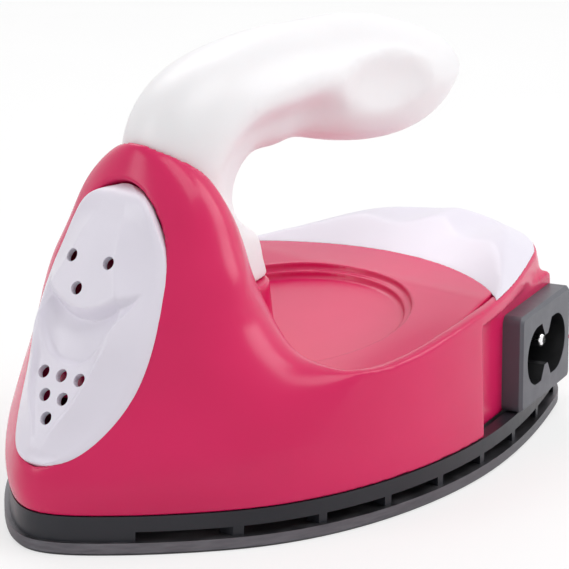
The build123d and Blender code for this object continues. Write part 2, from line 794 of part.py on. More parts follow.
def build_inlet_clip():
    start = inlet_proud + inlet_seat_depth
    clip = inlet_body(clip_margin, start, start + clip_thickness)
    return clip - inlet_body(fit_gap, start - overrun, start + clip_thickness + overrun)


def layer(length, width, bottom, height):
    """One flat layer of the heater stack."""
    plate = Box(length, width, height, align=(Align.CENTER, Align.CENTER, Align.MIN))
    return Pos(heater_x, 0, bottom) * plate


def electrode_tab(side, bottom):
    """The tab of an electrode: to the far side at the rear for the lower one, the other way for the upper."""
    x1 = heater_x + side * (stack_length / 2 - tab_inset)
    x0 = x1 - side * tab_width
    y1 = side * (tile_width / 2 + tab_reach)
    return block(min(x0, x1), max(x0, x1), min(0, y1), max(0, y1), bottom, bottom + electrode_height)


def build_ptc_tiles():
    step = (tile_length + tile_gap) / 2
    tile = Pos(0, 0, tile_z) * Box(tile_length, tile_width, tile_height,
                                   align=(Align.CENTER, Align.CENTER, Align.MIN))
    return group([Pos(heater_x + side * step, 0, 0) * tile for side in (1, -1)])


def build_heater_clamp():
    half, foot, thick = clamp_length / 2, clamp_foot, clamp_height
    low, high = platform_top, clamp_z
    knee = half - foot
    points = [(-half, low), (-knee, low), (-knee, high), (knee, high), (knee, low), (half, low),
              (half, low + thick), (knee + thick, low + thick), (knee + thick, high + thick),
              (-knee - thick, high + thick), (-knee - thick, low + thick), (-half, low + thick)]
    side_view = Plane(origin=(heater_x, clamp_width / 2, 0), x_dir=(1, 0, 0), z_dir=(0, -1, 0))
    clamp = extrude(side_view * make_face(Polyline(*points, close=True)), amount=clamp_width)
    for x, y in clamp_screw_places():
        clamp -= upright(screw_radius + screw_play, x, y, low - overrun, low + thick + overrun)
    return clamp


def screw(shank_radius, length, head_radius, head_height):
    """A slotted pan-head screw, its seat at the origin, its shank down."""
    head = Cylinder(head_radius, head_height, align=(Align.CENTER, Align.CENTER, Align.MIN))
    head = fillet(head.edges().sort_by(Axis.Z)[-1], screw_head_round)
    slot = Box(2 * head_radius + overrun, driver_slot_width, driver_slot_depth,
               align=(Align.CENTER, Align.CENTER, Align.MAX))
    shank = Cylinder(shank_radius, length, align=(Align.CENTER, Align.CENTER, Align.MAX))
    return head - Pos(0, 0, head_height) * slot + shank


def group(parts):
    """Separate solids kept together in one node."""
    return Compound([solid for part in parts for solid in part.solids()])


def build_base_screws():
    length = shell_lug_top - thread_bottom - screw_play
    one = screw(screw_radius, length, screw_head_radius, screw_head_height)
    return group([Pos(x, y, shell_lug_top) * one for x, y in base_screw_places()])


def build_clamp_screws():
    seat = platform_top + clamp_height
    one = screw(screw_radius, seat - thread_bottom - screw_play, screw_head_radius, screw_head_height)
    return group([Pos(x, y, seat) * one for x, y in clamp_screw_places()])


def build_foot_screws():
    one = screw(grip_screw_radius, foot_screw_length, grip_head_radius, grip_head_height)
    return group([Pos(x, y, hood_floor) * Rot(180, 0, 0) * one for x, y in foot_screw_places()])


def build_grip_screws():
    one = screw(grip_screw_radius, grip_screw_length, grip_head_radius, grip_head_height)
    return group([Pos(x, grip_seat_y, z) * Rot(-90, 0, 0) * one for x, z in grip_screw_places()])


def fuse_axis_z():
    """Height of the thermal fuse, whose sleeve lies on the clamp."""
    return clamp_top + sleeve_seat_gap + sleeve_radius


def lengthways(radius, x0, x1, z):
    """A round bar along X in the middle plane."""
    bar = Cylinder(radius, x1 - x0, align=(Align.CENTER, Align.CENTER, Align.MIN))
    return Pos(x0, 0, z) * Rot(0, 90, 0) * bar


def build_thermal_fuse():
    z = fuse_axis_z()
    half = fuse_length / 2
    fuse = lengthways(fuse_radius, fuse_x - half, fuse_x + half, z)
    reach = half + fuse_wire_length
    return fuse + lengthways(fuse_wire_radius, fuse_x - reach, fuse_x + reach, z)


def build_fuse_sleeve():
    z = fuse_axis_z()
    half = sleeve_length / 2
    sleeve = lengthways(sleeve_radius, fuse_x - half, fuse_x + half, z)
    start, end = fuse_x - half - overrun, fuse_x + half + overrun
    return sleeve - lengthways(sleeve_radius - sleeve_wall, start, end, z)


def build_fuse_strap():
    z = fuse_axis_z()
    x0, x1 = fuse_x - strap_width / 2, fuse_x + strap_width / 2
    inner = sleeve_radius + seat_gap
    outer = inner + strap_thickness
    strap = lengthways(outer, x0, x1, z)
    strap += block(x0, x1, -outer, outer, clamp_top, z)
    strap -= lengthways(inner, x0 - overrun, x1 + overrun, z)
    strap -= block(x0 - overrun, x1 + overrun, -inner, inner, clamp_top - overrun, z)
    for side in (1, -1):
        y0, y1 = side * inner, side * (outer + strap_foot)
        strap += block(x0, x1, min(y0, y1), max(y0, y1), clamp_top, clamp_top + strap_thickness)
    return strap


def crimp_barrel(plane):
    """A short tube over a butt joint, centred on a plane's origin along its Z axis."""
    barrel = Cylinder(crimp_radius, crimp_length) - Cylinder(lead_radius + crimp_play, crimp_length + overrun)
    return plane * barrel


def pin_tail_plane(side):
    """Where one pin's tail ends and its lead begins."""
    depth = inlet_body_depth + pin_collar_height + pin_tail
    return inlet_place(inlet_width / 2 + side * pin_spacing / 2, depth, inlet_middle_z)


def fuse_wire_plane(side):
    """Where one wire of the fuse ends and its lead begins."""
    reach = fuse_length / 2 + fuse_wire_length
    return Plane(origin=(fuse_x + side * reach, 0, fuse_axis_z()), x_dir=(0, 1, 0), z_dir=(side, 0, 0))


def tab_crimp_plane(side):
    """Where a lead enters the crimp block on an electrode's tab, looking the way the lead leaves."""
    x = heater_x + side * (stack_length / 2 - tab_inset)
    y = side * (tile_width / 2 + tab_reach - crimp_block_width / 2)
    bottom = lower_electrode_z if side > 0 else upper_electrode_z
    z = bottom + electrode_height + crimp_block_height / 2
    return Plane(origin=(x, y, z), x_dir=(0, 1, 0), z_dir=(side, 0, 0))


def build_lead_crimps():
    parts = [crimp_barrel(pin_tail_plane(side)) for side in (1, -1)]
    parts += [crimp_barrel(fuse_wire_plane(side)) for side in (1, -1)]
    for side in (1, -1):
        plane = tab_crimp_plane(side)
        shell = Box(crimp_block_width, crimp_block_height, tab_width,
                    align=(Align.CENTER, Align.CENTER, Align.MAX))
        bore = Cylinder(lead_radius + crimp_play, 2 * tab_width + overrun)
        parts.append(plane * (shell - bore))
    return group(parts)


def lead(start, bends, end, start_way, end_way):
    """One insulated wire from plane to plane by way of its bends."""
    points = [start.origin] + bends + [end.origin]
    path = Spline(points, tangents=[start_way, end_way], tangent_scalars=[1, 1])
    circle = Plane(origin=path @ 0, z_dir=path % 0) * Circle(lead_radius)
    return sweep(circle, path=path)


def build_live_lead():
    start, end = fuse_wire_plane(1), pin_tail_plane(-1)
    return lead(start, [live_lead_bend], end, start.z_dir, -end.z_dir)


def build_fuse_lead():
    start, end = fuse_wire_plane(-1), tab_crimp_plane(-1)
    inside = Plane(origin=end.origin - end.z_dir * tab_width / 2, z_dir=end.z_dir)
    return lead(start, [fuse_lead_bend], inside, start.z_dir, -end.z_dir)


def build_neutral_lead():
    start, end = tab_crimp_plane(1), pin_tail_plane(1)
    inside = Plane(origin=start.origin - start.z_dir * tab_width / 2, z_dir=start.z_dir)
    return lead(inside, [neutral_lead_bend], end, start.z_dir, -end.z_dir)


os.makedirs("parts", exist_ok=True)

save("soleplate", build_soleplate())
save("base_skirt", build_skirt())
save("base_screws", build_base_screws(), len(base_screw_places()))
save("body_shell", build_body_shell(handle_body(fit_gap)))
save("deck_cover", build_deck_cover())
save("rear_cap", build_rear_cap())
save("front_plate", build_front_plate())

whole_handle = handle_body()
save("handle_left", build_handle_half(whole_handle, 1))
save("handle_right", build_handle_half(whole_handle, -1))
save("grip_screws", build_grip_screws(), len(grip_screw_places()))
save("foot_screws", build_foot_screws(), len(foot_screw_places()))

save("inlet_housing", build_inlet_housing())
save("inlet_pin_live", build_inlet_pin(-1))
save("inlet_pin_neutral", build_inlet_pin(1))
save("inlet_clip", build_inlet_clip())

film_length = stack_length + 2 * film_margin
film_width = tile_width + 2 * film_margin
save("lower_insulator", layer(film_length, film_width, platform_top, film_height))
save("lower_electrode", layer(stack_length, tile_width, lower_electrode_z, electrode_height)
     + electrode_tab(1, lower_electrode_z))
save("ptc_tiles", build_ptc_tiles(), 2)
save("upper_electrode", layer(stack_length, tile_width, upper_electrode_z, electrode_height)
     + electrode_tab(-1, upper_electrode_z))
save("upper_insulator", layer(film_length, film_width, upper_film_z, film_height))
save("heater_clamp", build_heater_clamp())
save("clamp_screws", build_clamp_screws(), len(clamp_screw_places()))

save("thermal_fuse", build_thermal_fuse())
save("fuse_sleeve", build_fuse_sleeve())
save("fuse_strap", build_fuse_strap())
save("live_lead", build_live_lead())
save("fuse_lead", build_fuse_lead())
save("neutral_lead", build_neutral_lead())
save("lead_crimps", build_lead_crimps(), 6)
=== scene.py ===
import bpy
import json
import math
import bmesh
import numpy as np
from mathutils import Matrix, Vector
from mathutils.bvhtree import BVHTree

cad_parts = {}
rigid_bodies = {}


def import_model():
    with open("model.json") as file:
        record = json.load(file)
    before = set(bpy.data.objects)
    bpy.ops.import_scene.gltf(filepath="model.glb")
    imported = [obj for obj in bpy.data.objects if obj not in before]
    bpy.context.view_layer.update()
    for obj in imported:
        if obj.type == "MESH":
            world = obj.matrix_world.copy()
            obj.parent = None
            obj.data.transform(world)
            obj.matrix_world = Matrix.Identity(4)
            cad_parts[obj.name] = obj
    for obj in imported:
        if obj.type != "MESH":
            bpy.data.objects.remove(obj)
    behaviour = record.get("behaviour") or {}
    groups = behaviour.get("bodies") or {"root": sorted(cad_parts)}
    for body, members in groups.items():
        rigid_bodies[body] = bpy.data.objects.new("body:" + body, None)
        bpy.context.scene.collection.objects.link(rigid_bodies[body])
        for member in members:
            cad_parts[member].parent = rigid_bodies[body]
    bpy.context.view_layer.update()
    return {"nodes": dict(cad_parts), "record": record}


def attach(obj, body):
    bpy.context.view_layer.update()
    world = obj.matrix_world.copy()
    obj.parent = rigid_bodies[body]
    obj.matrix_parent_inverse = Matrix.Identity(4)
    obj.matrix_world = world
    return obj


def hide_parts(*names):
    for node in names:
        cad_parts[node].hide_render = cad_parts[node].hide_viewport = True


# Scene of the mini craft iron, in metres. X runs from the nose to the heel, the power inlet is on
# the side of negative Y, and the ironing face lies on the floor at Z = 0.
MM = 0.001

# Camera: fitted to the outlines in the photograph
IMAGE_SIZE = 569
FOCAL_PIXELS = 3650
SENSOR_WIDTH = 36.0
CAMERA_NEAR = 0.05
CAMERA_TARGET = Vector((-0.51, 0.0, 26.91)) * MM
CAMERA_DISTANCE = 550 * MM
CAMERA_AZIMUTH = -50
CAMERA_ELEVATION = 16

# Lights, all at one distance: azimuth, elevation, size across and up in metres, power in watts
LIGHT_DISTANCE = 0.60
LIGHTS = {
    "key": (5, 64, (0.40, 0.40), 1.25),
    "left": (-118, 26, (0.20, 0.45), 0.70),
    "right": (48, 30, (0.30, 0.40), 1.15),
    "rim": (150, 48, (0.40, 0.30), 0.9),
}

# White surroundings: the light that they give, and how bright they look
WORLD_GIVES = 0.44
WORLD_LOOKS = 1.0

# Floor
FLOOR_REACH = 3.0
FLOOR_COLOURS = ((0.93, 0.93, 0.93), (0.95, 0.95, 0.95))
FLOOR_NOISE = 30
FLOOR_ROUGHNESS = 0.8
FLOOR_GLOW = 0.6

# Noise in the materials: the two levels between which a value changes, waves a metre and detail of
# the colour's drift and of the worn gloss, and the share of the roughness at both ends
NOISE_LOW = 0.3
NOISE_HIGH = 0.7
DRIFT_SCALE = 45
DRIFT_DETAIL = 2.0
WEAR_SCALE = 260
WEAR_DETAIL = 4.0
WEAR_ROUGHNESS = 0.6
SKIN_DETAIL = 2.0
PLASTIC_GLOSS = (0.86, 1.14)
METAL_DETAIL = 4.0
METAL_GLOSS = (0.8, 1.25)
PLASTIC_IOR = 1.5
SUBSURFACE_DEPTH = 1.5 * MM

# Plastics and the like: two linear colours, roughness, waves a metre of the grain and its depth in
# millimetres
PLASTICS = {
    "pink_shell": dict(colours=((0.680, 0.010, 0.110), (0.630, 0.008, 0.096)), roughness=0.24,
                       grain=900, grain_depth=0.004, subsurface=0.05, specular=0.36),
    "white_plastic": dict(colours=((0.785, 0.750, 0.835), (0.760, 0.725, 0.815)), roughness=0.32,
                          grain=1100, grain_depth=0.004, subsurface=0.05, tint=(1, 0.9, 0.9)),
    "handle_plastic": dict(colours=((0.865, 0.850, 0.868), (0.845, 0.828, 0.845)), roughness=0.36,
                           grain=1100, grain_depth=0.004, subsurface=0.16, tint=(1, 0.8, 0.75)),
    "black_plastic": dict(colours=((0.016, 0.017, 0.022), (0.024, 0.025, 0.031)), roughness=0.34,
                          grain=1500, grain_depth=0.008, specular=0.3),
    "inlet_plastic": dict(colours=((0.088, 0.090, 0.108), (0.078, 0.080, 0.096)), roughness=0.42,
                          grain=1800, grain_depth=0.010),
    "ceramic_tile": dict(colours=((0.20, 0.19, 0.18), (0.27, 0.26, 0.24)), roughness=0.75,
                         grain=2500, grain_depth=0.020),
    "insulating_film": dict(colours=((0.55, 0.26, 0.03), (0.48, 0.22, 0.02)), roughness=0.28,
                            grain=900, grain_depth=0.003),
    "sleeve_fibre": dict(colours=((0.62, 0.58, 0.48), (0.72, 0.69, 0.60)), roughness=0.85,
                         grain=3500, grain_depth=0.060),
    "lead_insulation": dict(colours=((0.58, 0.54, 0.46), (0.64, 0.60, 0.52)), roughness=0.50,
                            grain=1500, grain_depth=0.010),
    "lead_insulation_blue": dict(colours=((0.03, 0.09, 0.36), (0.04, 0.11, 0.42)),
                                 roughness=0.50, grain=1500, grain_depth=0.010),
}

# Metals: the same, and how the grain is squeezed along each axis
METALS = {
    "sole_metal": dict(colours=((0.115, 0.112, 0.124), (0.165, 0.160, 0.175)), roughness=0.42,
                       grain=300, grain_depth=0.010, stretch=(1, 1, 8)),
    "pin_metal": dict(colours=((0.82, 0.82, 0.83), (0.90, 0.90, 0.91)), roughness=0.16,
                      grain=1500, grain_depth=0.002),
    "screw_metal": dict(colours=((0.50, 0.50, 0.50), (0.62, 0.62, 0.61)), roughness=0.32,
                        grain=1200, grain_depth=0.005),
    "spring_steel": dict(colours=((0.46, 0.46, 0.47), (0.58, 0.57, 0.56)), roughness=0.36,
                         grain=700, grain_depth=0.004, stretch=(0.3, 3, 1)),
    "electrode_metal": dict(colours=((0.70, 0.70, 0.71), (0.80, 0.80, 0.80)), roughness=0.30,
                            grain=800, grain_depth=0.003, stretch=(0.3, 3, 1)),
    "fuse_metal": dict(colours=((0.68, 0.68, 0.68), (0.78, 0.78, 0.78)), roughness=0.30,
                       grain=1500, grain_depth=0.004),
    "crimp_metal": dict(colours=((0.66, 0.58, 0.38), (0.76, 0.70, 0.50)), roughness=0.32,
                        grain=1500, grain_depth=0.005),
}

# Painted shade in the inlet's socket, a black colour that stands in for the shade deep inside it:
# its colour, the direction that its face looks in, how deep behind the face its inside begins, and
# its mouth's middle and half sizes
SOCKET_PAINTED_SHADE = (0.004, 0.004, 0.005)
SOCKET_LOOKS = Vector((0.2756, -0.9613, 0.0))
SOCKET_FACE = 32.38 * MM
SOCKET_BEHIND = 0.25 * MM
SOCKET_MIDDLE = (26.4 * MM, 13.3 * MM)
SOCKET_HALF = (9.3 * MM, 5.2 * MM)

# Front plate: the plane that it is drawn on leans back from the nose. Places on it are given as
# across, towards the inlet side, and up from the plate's foot; heights stand out of the nose.
PLATE_LEAN = math.radians(30)
PLATE_FOOT = Vector((-55.6, 0.0, 12.6)) * MM
PLATE_ACROSS = Vector((0, -1, 0))
PLATE_OUT = Vector((-math.cos(PLATE_LEAN), 0, math.sin(PLATE_LEAN)))
PLATE_UP = PLATE_OUT.cross(PLATE_ACROSS)
PLATE_LENGTH = 42.2 * MM
PLATE_HALF_WIDTH = 11.0 * MM
PLATE_WALL = 1.0 * MM

# Grid of the plate: its cells up and across, and the share of the length left at both ends
PLATE_ROWS = 240
PLATE_COLUMNS = 170
PLATE_END = 0.004
GRID_SMOOTHING = 2
SHARP_ANGLE = 32

# Tables over shares of the plate's length: share of the half width, then height of the crest and
# half width of its flat middle in millimetres
PLATE_OUTLINE = [(0.0, 0.0), (0.012, 0.23), (0.045, 0.45), (0.11, 0.65), (0.19, 0.79),
                 (0.28, 0.89), (0.39, 0.965), (0.50, 1.0), (0.61, 1.0), (0.70, 0.96),
                 (0.80, 0.84), (0.88, 0.67), (0.945, 0.47), (0.985, 0.24), (1.0, 0.0)]
PLATE_CREST = [(0.0, 0.5), (0.12, 1.0), (0.24, 1.35), (0.36, 1.6), (0.48, 1.9), (0.60, 2.5),
               (0.72, 2.8), (0.84, 2.75), (0.93, 2.6), (1.0, 2.3)]
PLATE_FLAT = [(0.0, 0.4), (0.13, 2.2), (0.21, 4.0), (0.35, 5.8), (0.46, 7.0), (0.58, 6.4),
              (0.71, 4.4), (0.83, 3.2), (0.95, 1.8), (1.0, 1.2)]
FLAT_LARGEST = 0.8
SIDE_NARROWEST = 0.3 * MM

# Ends of the plate, where its crest falls to the edge but for a share
FOOT_END = 0.03
FOOT_END_STEP = 0.03
TOP_END = 0.90
TOP_END_STEP = 0.10
CREST_AT_ENDS = 0.15

# Edge of the plate: where and from how far out the shell under it is measured, its height over
# the shell, how much more it stands out at the top, its round rim, and the skirt that closes it
EDGE_MEASURED_OUT = 0.35 * MM
MEASURED_FROM = 40 * MM
EDGE_SMOOTHING = 220
PLATE_RIM = 0.75 * MM
PLATE_TOP_PROUD = 1.4 * MM
PLATE_TOP_FROM = 0.85
PLATE_TOP_STEP = 0.12
PLATE_RIM_ROUND = 1.1 * MM
PLATE_RIM_ROLL = 0.45 * MM
PLATE_RIM_AT_ENDS = 0.3 * MM
SKIRT_WITHIN = 0.8 * MM
SKIRT_STEP = 0.4 * MM

# Creases beside the crest: their rounding, and from where up it grows softer
CREASE_ROUND = 0.7 * MM
CREASE_ROUND_TOP = 2.4 * MM
CREASE_TOP_FROM = 0.56
CREASE_TOP_STEP = 0.10

# Scoop under the upper holes: its tips, its lip and foot in the middle and how far both rise to
# the tips, its depth, and how it starts at the foot and ends at the lip
SCOOP_TIP = 8.8 * MM
SCOOP_LIP = 22.4 * MM
SCOOP_LIP_RISE = 4.9 * MM
SCOOP_LIP_CURVE = 2
SCOOP_FOOT = 15.0 * MM
SCOOP_FOOT_RISE = 12.3 * MM
SCOOP_FOOT_CURVE = 2.6
SCOOP_DEPTH = 2.7 * MM
SCOOP_SIDE_CURVE = 4
SCOOP_LEAST_HEIGHT = 0.2 * MM
SCOOP_LIP_STEP = 0.30 * MM
SCOOP_FOOT_STEP = 0.35
SCOOP_START = 0.08

# Sunk field of the lower holes
FIELD_DEPTH = 1.25 * MM
FIELD_FOOT_SHARE = 0.15
FIELD_INSET = 0.55 * MM
FIELD_STEP = 0.35 * MM
FIELD_FROM = 3.6 * MM
FIELD_FROM_STEP = 0.6 * MM
FIELD_TO = 17.0 * MM
FIELD_TO_STEP = 3.0 * MM

# Holes of the plate: the upper ones by their places, the lower ones in rows of three, two and one
UPPER_HOLES = [(3.3, 30.0), (-3.7, 30.0), (-1.1, 25.6)]
HOLE_ROWS = 3
HOLE_PITCH = 3.4
HOLE_ROW_PITCH = 3.2
HOLE_ROW = 13.2
HOLE_RADIUS = 0.98 * MM
BORE_SIDES = 40
BORE_REACH = 8 * MM

# Moulded copies: how close vertices are joined, and the size of the cells of each copy
JOIN_WITHIN = 0.002 * MM
SHELL_CELL = 0.36 * MM
HANDLE_CELL = 0.42 * MM
DECK_CELL = 0.25 * MM
CAP_CELL = 0.30 * MM

# Rounding of the moulded copies: rounds, and weights above and below a height
SHELL_ROUNDS = 3
SHELL_WEIGHT = 0.5
HANDLE_ROUNDS = 22
HANDLE_WEIGHTS = (33, 0.7, 0.25)
DECK_ROUNDS = 3
DECK_WEIGHT = 0.5
CAP_ROUNDS = 24
CAP_WEIGHTS = (26.6, 0.7, 0.2)

# Foot of the hood, run into the lower body in a band and in a ledge: level and half height of
# each, from where to where along the nose it sets in, its curve, weight and rounds. The ledge ends
# before the nose, and both keep off the neck.
BAND = (24.4, 6.5)
BAND_ALONG = (15, 25)
BAND_CURVE = 2
BAND_WEIGHT = 0.9
BAND_ROUNDS = 150
LEDGE = (23.0, 9.0)
LEDGE_ALONG = (13, 27)
LEDGE_CURVE = 3
LEDGE_WEIGHT = 0.95
LEDGE_ROUNDS = 300
LEDGE_END = 46
LEDGE_END_RUN = 6
OFF_NECK_SIDE = (11.5, 15)
OFF_NECK_NOSE = (30, 38)

# Rim of the shell: how far it lies above or below the level deck line, by its place along X, and
# where it bends: over heights, away from the middle plane and towards the heel
RIM_RISE = [(-56.5, 0.0), (-26.0, 0.0), (-20.0, -0.2), (-16.0, -0.9), (-11.5, -1.1),
            (-4.5, -0.4), (3.5, 0.7), (10.5, 1.3), (17.0, 1.5), (26.0, 1.7), (36.0, 2.3),
            (50.0, 3.0), (56.5, 3.2)]
RIM_PLACES = 400
RIM_SMOOTHING = 60
RIM_LEVEL = 23.6
RIM_BEND_FROM = 15.0
RIM_BEND_SIDE = (10, 16)
RIM_BEND_HEEL = (-4, 4)

# Deck: its slope about a place, how its opening is drawn in to the neck by distance from the
# neck's middle, and where it stays under the cap
DECK_LEVEL = 23.3
DECK_MIDDLE_X = -1.5
DECK_MIDDLE_LEVEL = 22.7
DECK_SLOPE = math.tan(math.radians(8.0))
DECK_DRAWN_IN = 1.1
DECK_DRAWN = (8.6, 13.0)
DECK_CAP_ALONG = (13.0, 20.0)
DECK_UNDER_CAP = 0.42

# Share of the cap's height above the rim that its top keeps
CAP_TOP_SHARE = 0.45

# Foot of the handle: heights between which it widens, from where to where along X, and how far;
# and its screws with the heights that their bores are closed between
FOOT_HEIGHTS = (35.0, 43.0)
FOOT_ALONG = (-19.0, -11.0)
FOOT_SPREAD = 2.5 * MM
FOOT_WIDER = 0.12
FOOT_SCREWS = [(-23.0, 3.0), (-14.0, -3.0)]
FOOT_BORE = 1.6
FOOT_BORE_SIDES = 24
FOOT_BORE_HEIGHTS = (31.3, 38.6)

# Neck under the foot: the wall behind its round rear
NECK_MIDDLE_X = -15.5
NECK_WALL_OUT = 7.35
NECK_WALL_IN = 6.4
NECK_WALL_STEPS = 24
NECK_WALL_HEIGHTS = (22.0, 28.7)

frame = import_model()


def clear_starting_objects():
    """Removes whatever the empty file starts with besides the model."""
    for thing in list(bpy.data.objects):
        if thing.type in {"CAMERA", "LIGHT"}:
            bpy.data.objects.remove(thing)


def new_material(name):
    """A node material with its tree and its shader."""
    material = bpy.data.materials.new(name)
    material.use_nodes = True
    tree = material.node_tree
    return material, tree, tree.nodes["Principled BSDF"]


def object_noise(tree, scale, detail, roughness=0.5, stretch=(1, 1, 1)):
    """Noise in the object's own space, its scale in waves a metre."""
    place = tree.nodes.new("ShaderNodeTexCoord")
    mapping = tree.nodes.new("ShaderNodeMapping")
    mapping.inputs["Scale"].default_value = stretch
    noise = tree.nodes.new("ShaderNodeTexNoise")
    noise.inputs["Scale"].default_value = scale
    noise.inputs["Detail"].default_value = detail
    noise.inputs["Roughness"].default_value = roughness
    tree.links.new(place.outputs["Object"], mapping.inputs["Vector"])
    tree.links.new(mapping.outputs["Vector"], noise.inputs["Vector"])
    return noise


def vary_colour(tree, shader, noise, colours):
    """Lets noise move the colour between two."""
    ramp = tree.nodes.new("ShaderNodeValToRGB")
    stops = ramp.color_ramp.elements
    for stop, position, colour in zip(stops, (NOISE_LOW, NOISE_HIGH), colours):
        stop.position = position
        stop.color = (*colour, 1)
    tree.links.new(noise.outputs["Fac"], ramp.inputs["Fac"])
    tree.links.new(ramp.outputs["Color"], shader.inputs["Base Color"])


def vary_gloss(tree, shader, noise, roughness, shares):
    """Lets noise move the roughness between two shares of it."""
    spread = tree.nodes.new("ShaderNodeMapRange")
    spread.inputs["From Min"].default_value = NOISE_LOW
    spread.inputs["From Max"].default_value = NOISE_HIGH
    spread.inputs["To Min"].default_value = roughness * shares[0]
    spread.inputs["To Max"].default_value = roughness * shares[1]
    tree.links.new(noise.outputs["Fac"], spread.inputs["Value"])
    tree.links.new(spread.outputs["Result"], shader.inputs["Roughness"])


def add_bump(tree, shader, noise, depth):
    """Raises the surface by noise, to a depth in millimetres."""
    bump = tree.nodes.new("ShaderNodeBump")
    bump.inputs["Strength"].default_value = 1.0
    bump.inputs["Distance"].default_value = depth * MM
    tree.links.new(noise.outputs["Fac"], bump.inputs["Height"])
    tree.links.new(bump.outputs["Normal"], shader.inputs["Normal"])


def moulded_plastic(name, colours, roughness, grain, grain_depth, subsurface=0.0,
                    tint=(1, 0.5, 0.4), specular=0.5):
    """Moulded plastic: slow colour drift, uneven gloss and a fine skin."""
    material, tree, shader = new_material(name)
    vary_colour(tree, shader, object_noise(tree, DRIFT_SCALE, DRIFT_DETAIL), colours)
    wear = object_noise(tree, WEAR_SCALE, WEAR_DETAIL, WEAR_ROUGHNESS)
    vary_gloss(tree, shader, wear, roughness, PLASTIC_GLOSS)
    add_bump(tree, shader, object_noise(tree, grain, SKIN_DETAIL), grain_depth)
    shader.inputs["IOR"].default_value = PLASTIC_IOR
    shader.inputs["Specular IOR Level"].default_value = specular
    if subsurface:
        shader.inputs["Subsurface Weight"].default_value = subsurface
        shader.inputs["Subsurface Radius"].default_value = tint
        shader.inputs["Subsurface Scale"].default_value = SUBSURFACE_DEPTH
    return material


def worked_metal(name, colours, roughness, grain, grain_depth, stretch=(1, 1, 1)):
    """Metal whose one grain, as rolling and brushing leave it, moves colour, gloss and height."""
    material, tree, shader = new_material(name)
    noise = object_noise(tree, grain, METAL_DETAIL, stretch=stretch)
    vary_colour(tree, shader, noise, colours)
    vary_gloss(tree, shader, noise, roughness, METAL_GLOSS)
    add_bump(tree, shader, noise, grain_depth)
    shader.inputs["Metallic"].default_value = 1.0
    return material


def paint_socket_shade(material):
    """Paints shade into the inlet's socket: black colour deeper than its face and within its
    mouth, where the deep inside lies in shade.
    """
    tree = material.node_tree
    shader = tree.nodes["Principled BSDF"]
    place = tree.nodes.new("ShaderNodeTexCoord")

    def math_node(operation, first, second):
        node = tree.nodes.new("ShaderNodeMath")
        node.operation = operation
        for socket, value in zip(node.inputs, (first, second)):
            if isinstance(value, float):
                socket.default_value = value
            else:
                tree.links.new(value, socket)
        return node.outputs["Value"]

    def along(direction):
        node = tree.nodes.new("ShaderNodeVectorMath")
        node.operation = "DOT_PRODUCT"
        tree.links.new(place.outputs["Object"], node.inputs[0])
        node.inputs[1].default_value = direction
        return node.outputs["Value"]

    inside = math_node("LESS_THAN", along(SOCKET_LOOKS), SOCKET_FACE - SOCKET_BEHIND)
    level = Vector((-SOCKET_LOOKS.y, SOCKET_LOOKS.x, 0.0))
    upright = Vector((0, 0, 1))
    for direction, middle, half in zip((level, upright), SOCKET_MIDDLE, SOCKET_HALF):
        off = math_node("ABSOLUTE", math_node("SUBTRACT", along(direction), middle), 0.0)
        inside = math_node("MULTIPLY", inside, math_node("LESS_THAN", off, half))
    # painted shade: black mixed over the plastic's own colour inside the socket
    mix = tree.nodes.new("ShaderNodeMix")
    mix.data_type = "RGBA"
    outside = shader.inputs["Base Color"].links[0].from_socket
    tree.links.new(inside, mix.inputs["Factor"])
    tree.links.new(outside, mix.inputs["A"])
    mix.inputs["B"].default_value = (*SOCKET_PAINTED_SHADE, 1)
    tree.links.new(mix.outputs["Result"], shader.inputs["Base Color"])


def build_materials():
    """One finished material for each slot of the record."""
    made = {name: moulded_plastic(name, **look) for name, look in PLASTICS.items()}
    made.update({name: worked_metal(name, **look) for name, look in METALS.items()})
    # paints shade into the inlet's socket as black colour
    paint_socket_shade(made["inlet_plastic"])
    return made


def dress_cad_nodes(made):
    """Gives each CAD node the finished material of its slot."""
    for entry in frame["record"]["subparts"]:
        node = frame["nodes"][entry["node"]]
        for place in node.material_slots:
            place.material = made[entry["material_slot"]]


def table_columns(table):
    """The two columns of a table as arrays."""
    return np.array([row[0] for row in table]), np.array([row[1] for row in table])


def smooth_over(values):
    """Evens values out once with their neighbours along the first axis; both ends stay."""
    values[1:-1] = 0.25 * values[:-2] + 0.5 * values[1:-1] + 0.25 * values[2:]


def shape_from_table(table, share, unit):
    """A smooth value from a table of shares and sizes."""
    shares, sizes = table_columns(table)
    slopes = np.gradient(sizes, shares)
    index = np.clip(np.searchsorted(shares, share) - 1, 0, len(shares) - 2)
    span = shares[index + 1] - shares[index]
    t = (share - shares[index]) / span
    rise, turn = t * t * (3 - 2 * t), t * (1 - t)
    value = sizes[index] * (1 - rise) + sizes[index + 1] * rise
    value += span * turn * (slopes[index] * (1 - t) - slopes[index + 1] * t)
    return value * unit


def plate_half_width(share):
    """Half the plate's width at a share of its length, round at both ends."""
    outline = [(math.acos(1 - 2 * up) / math.pi, across) for up, across in PLATE_OUTLINE]
    return shape_from_table(outline, math.acos(1 - 2 * share) / math.pi, PLATE_HALF_WIDTH)


def soft_step(x, width):
    """From 0 to 1 over a width that has zero in its middle."""
    t = min(max(x / (2 * width) + 0.5, 0.0), 1.0)
    return t * t * (3 - 2 * t)


def soft_ramp(x, width):
    """Zero below zero and x above it, with a round corner."""
    return 0.5 * (x + math.sqrt(x * x + width * width)) - 0.5 * width * math.exp(-abs(x) / width)


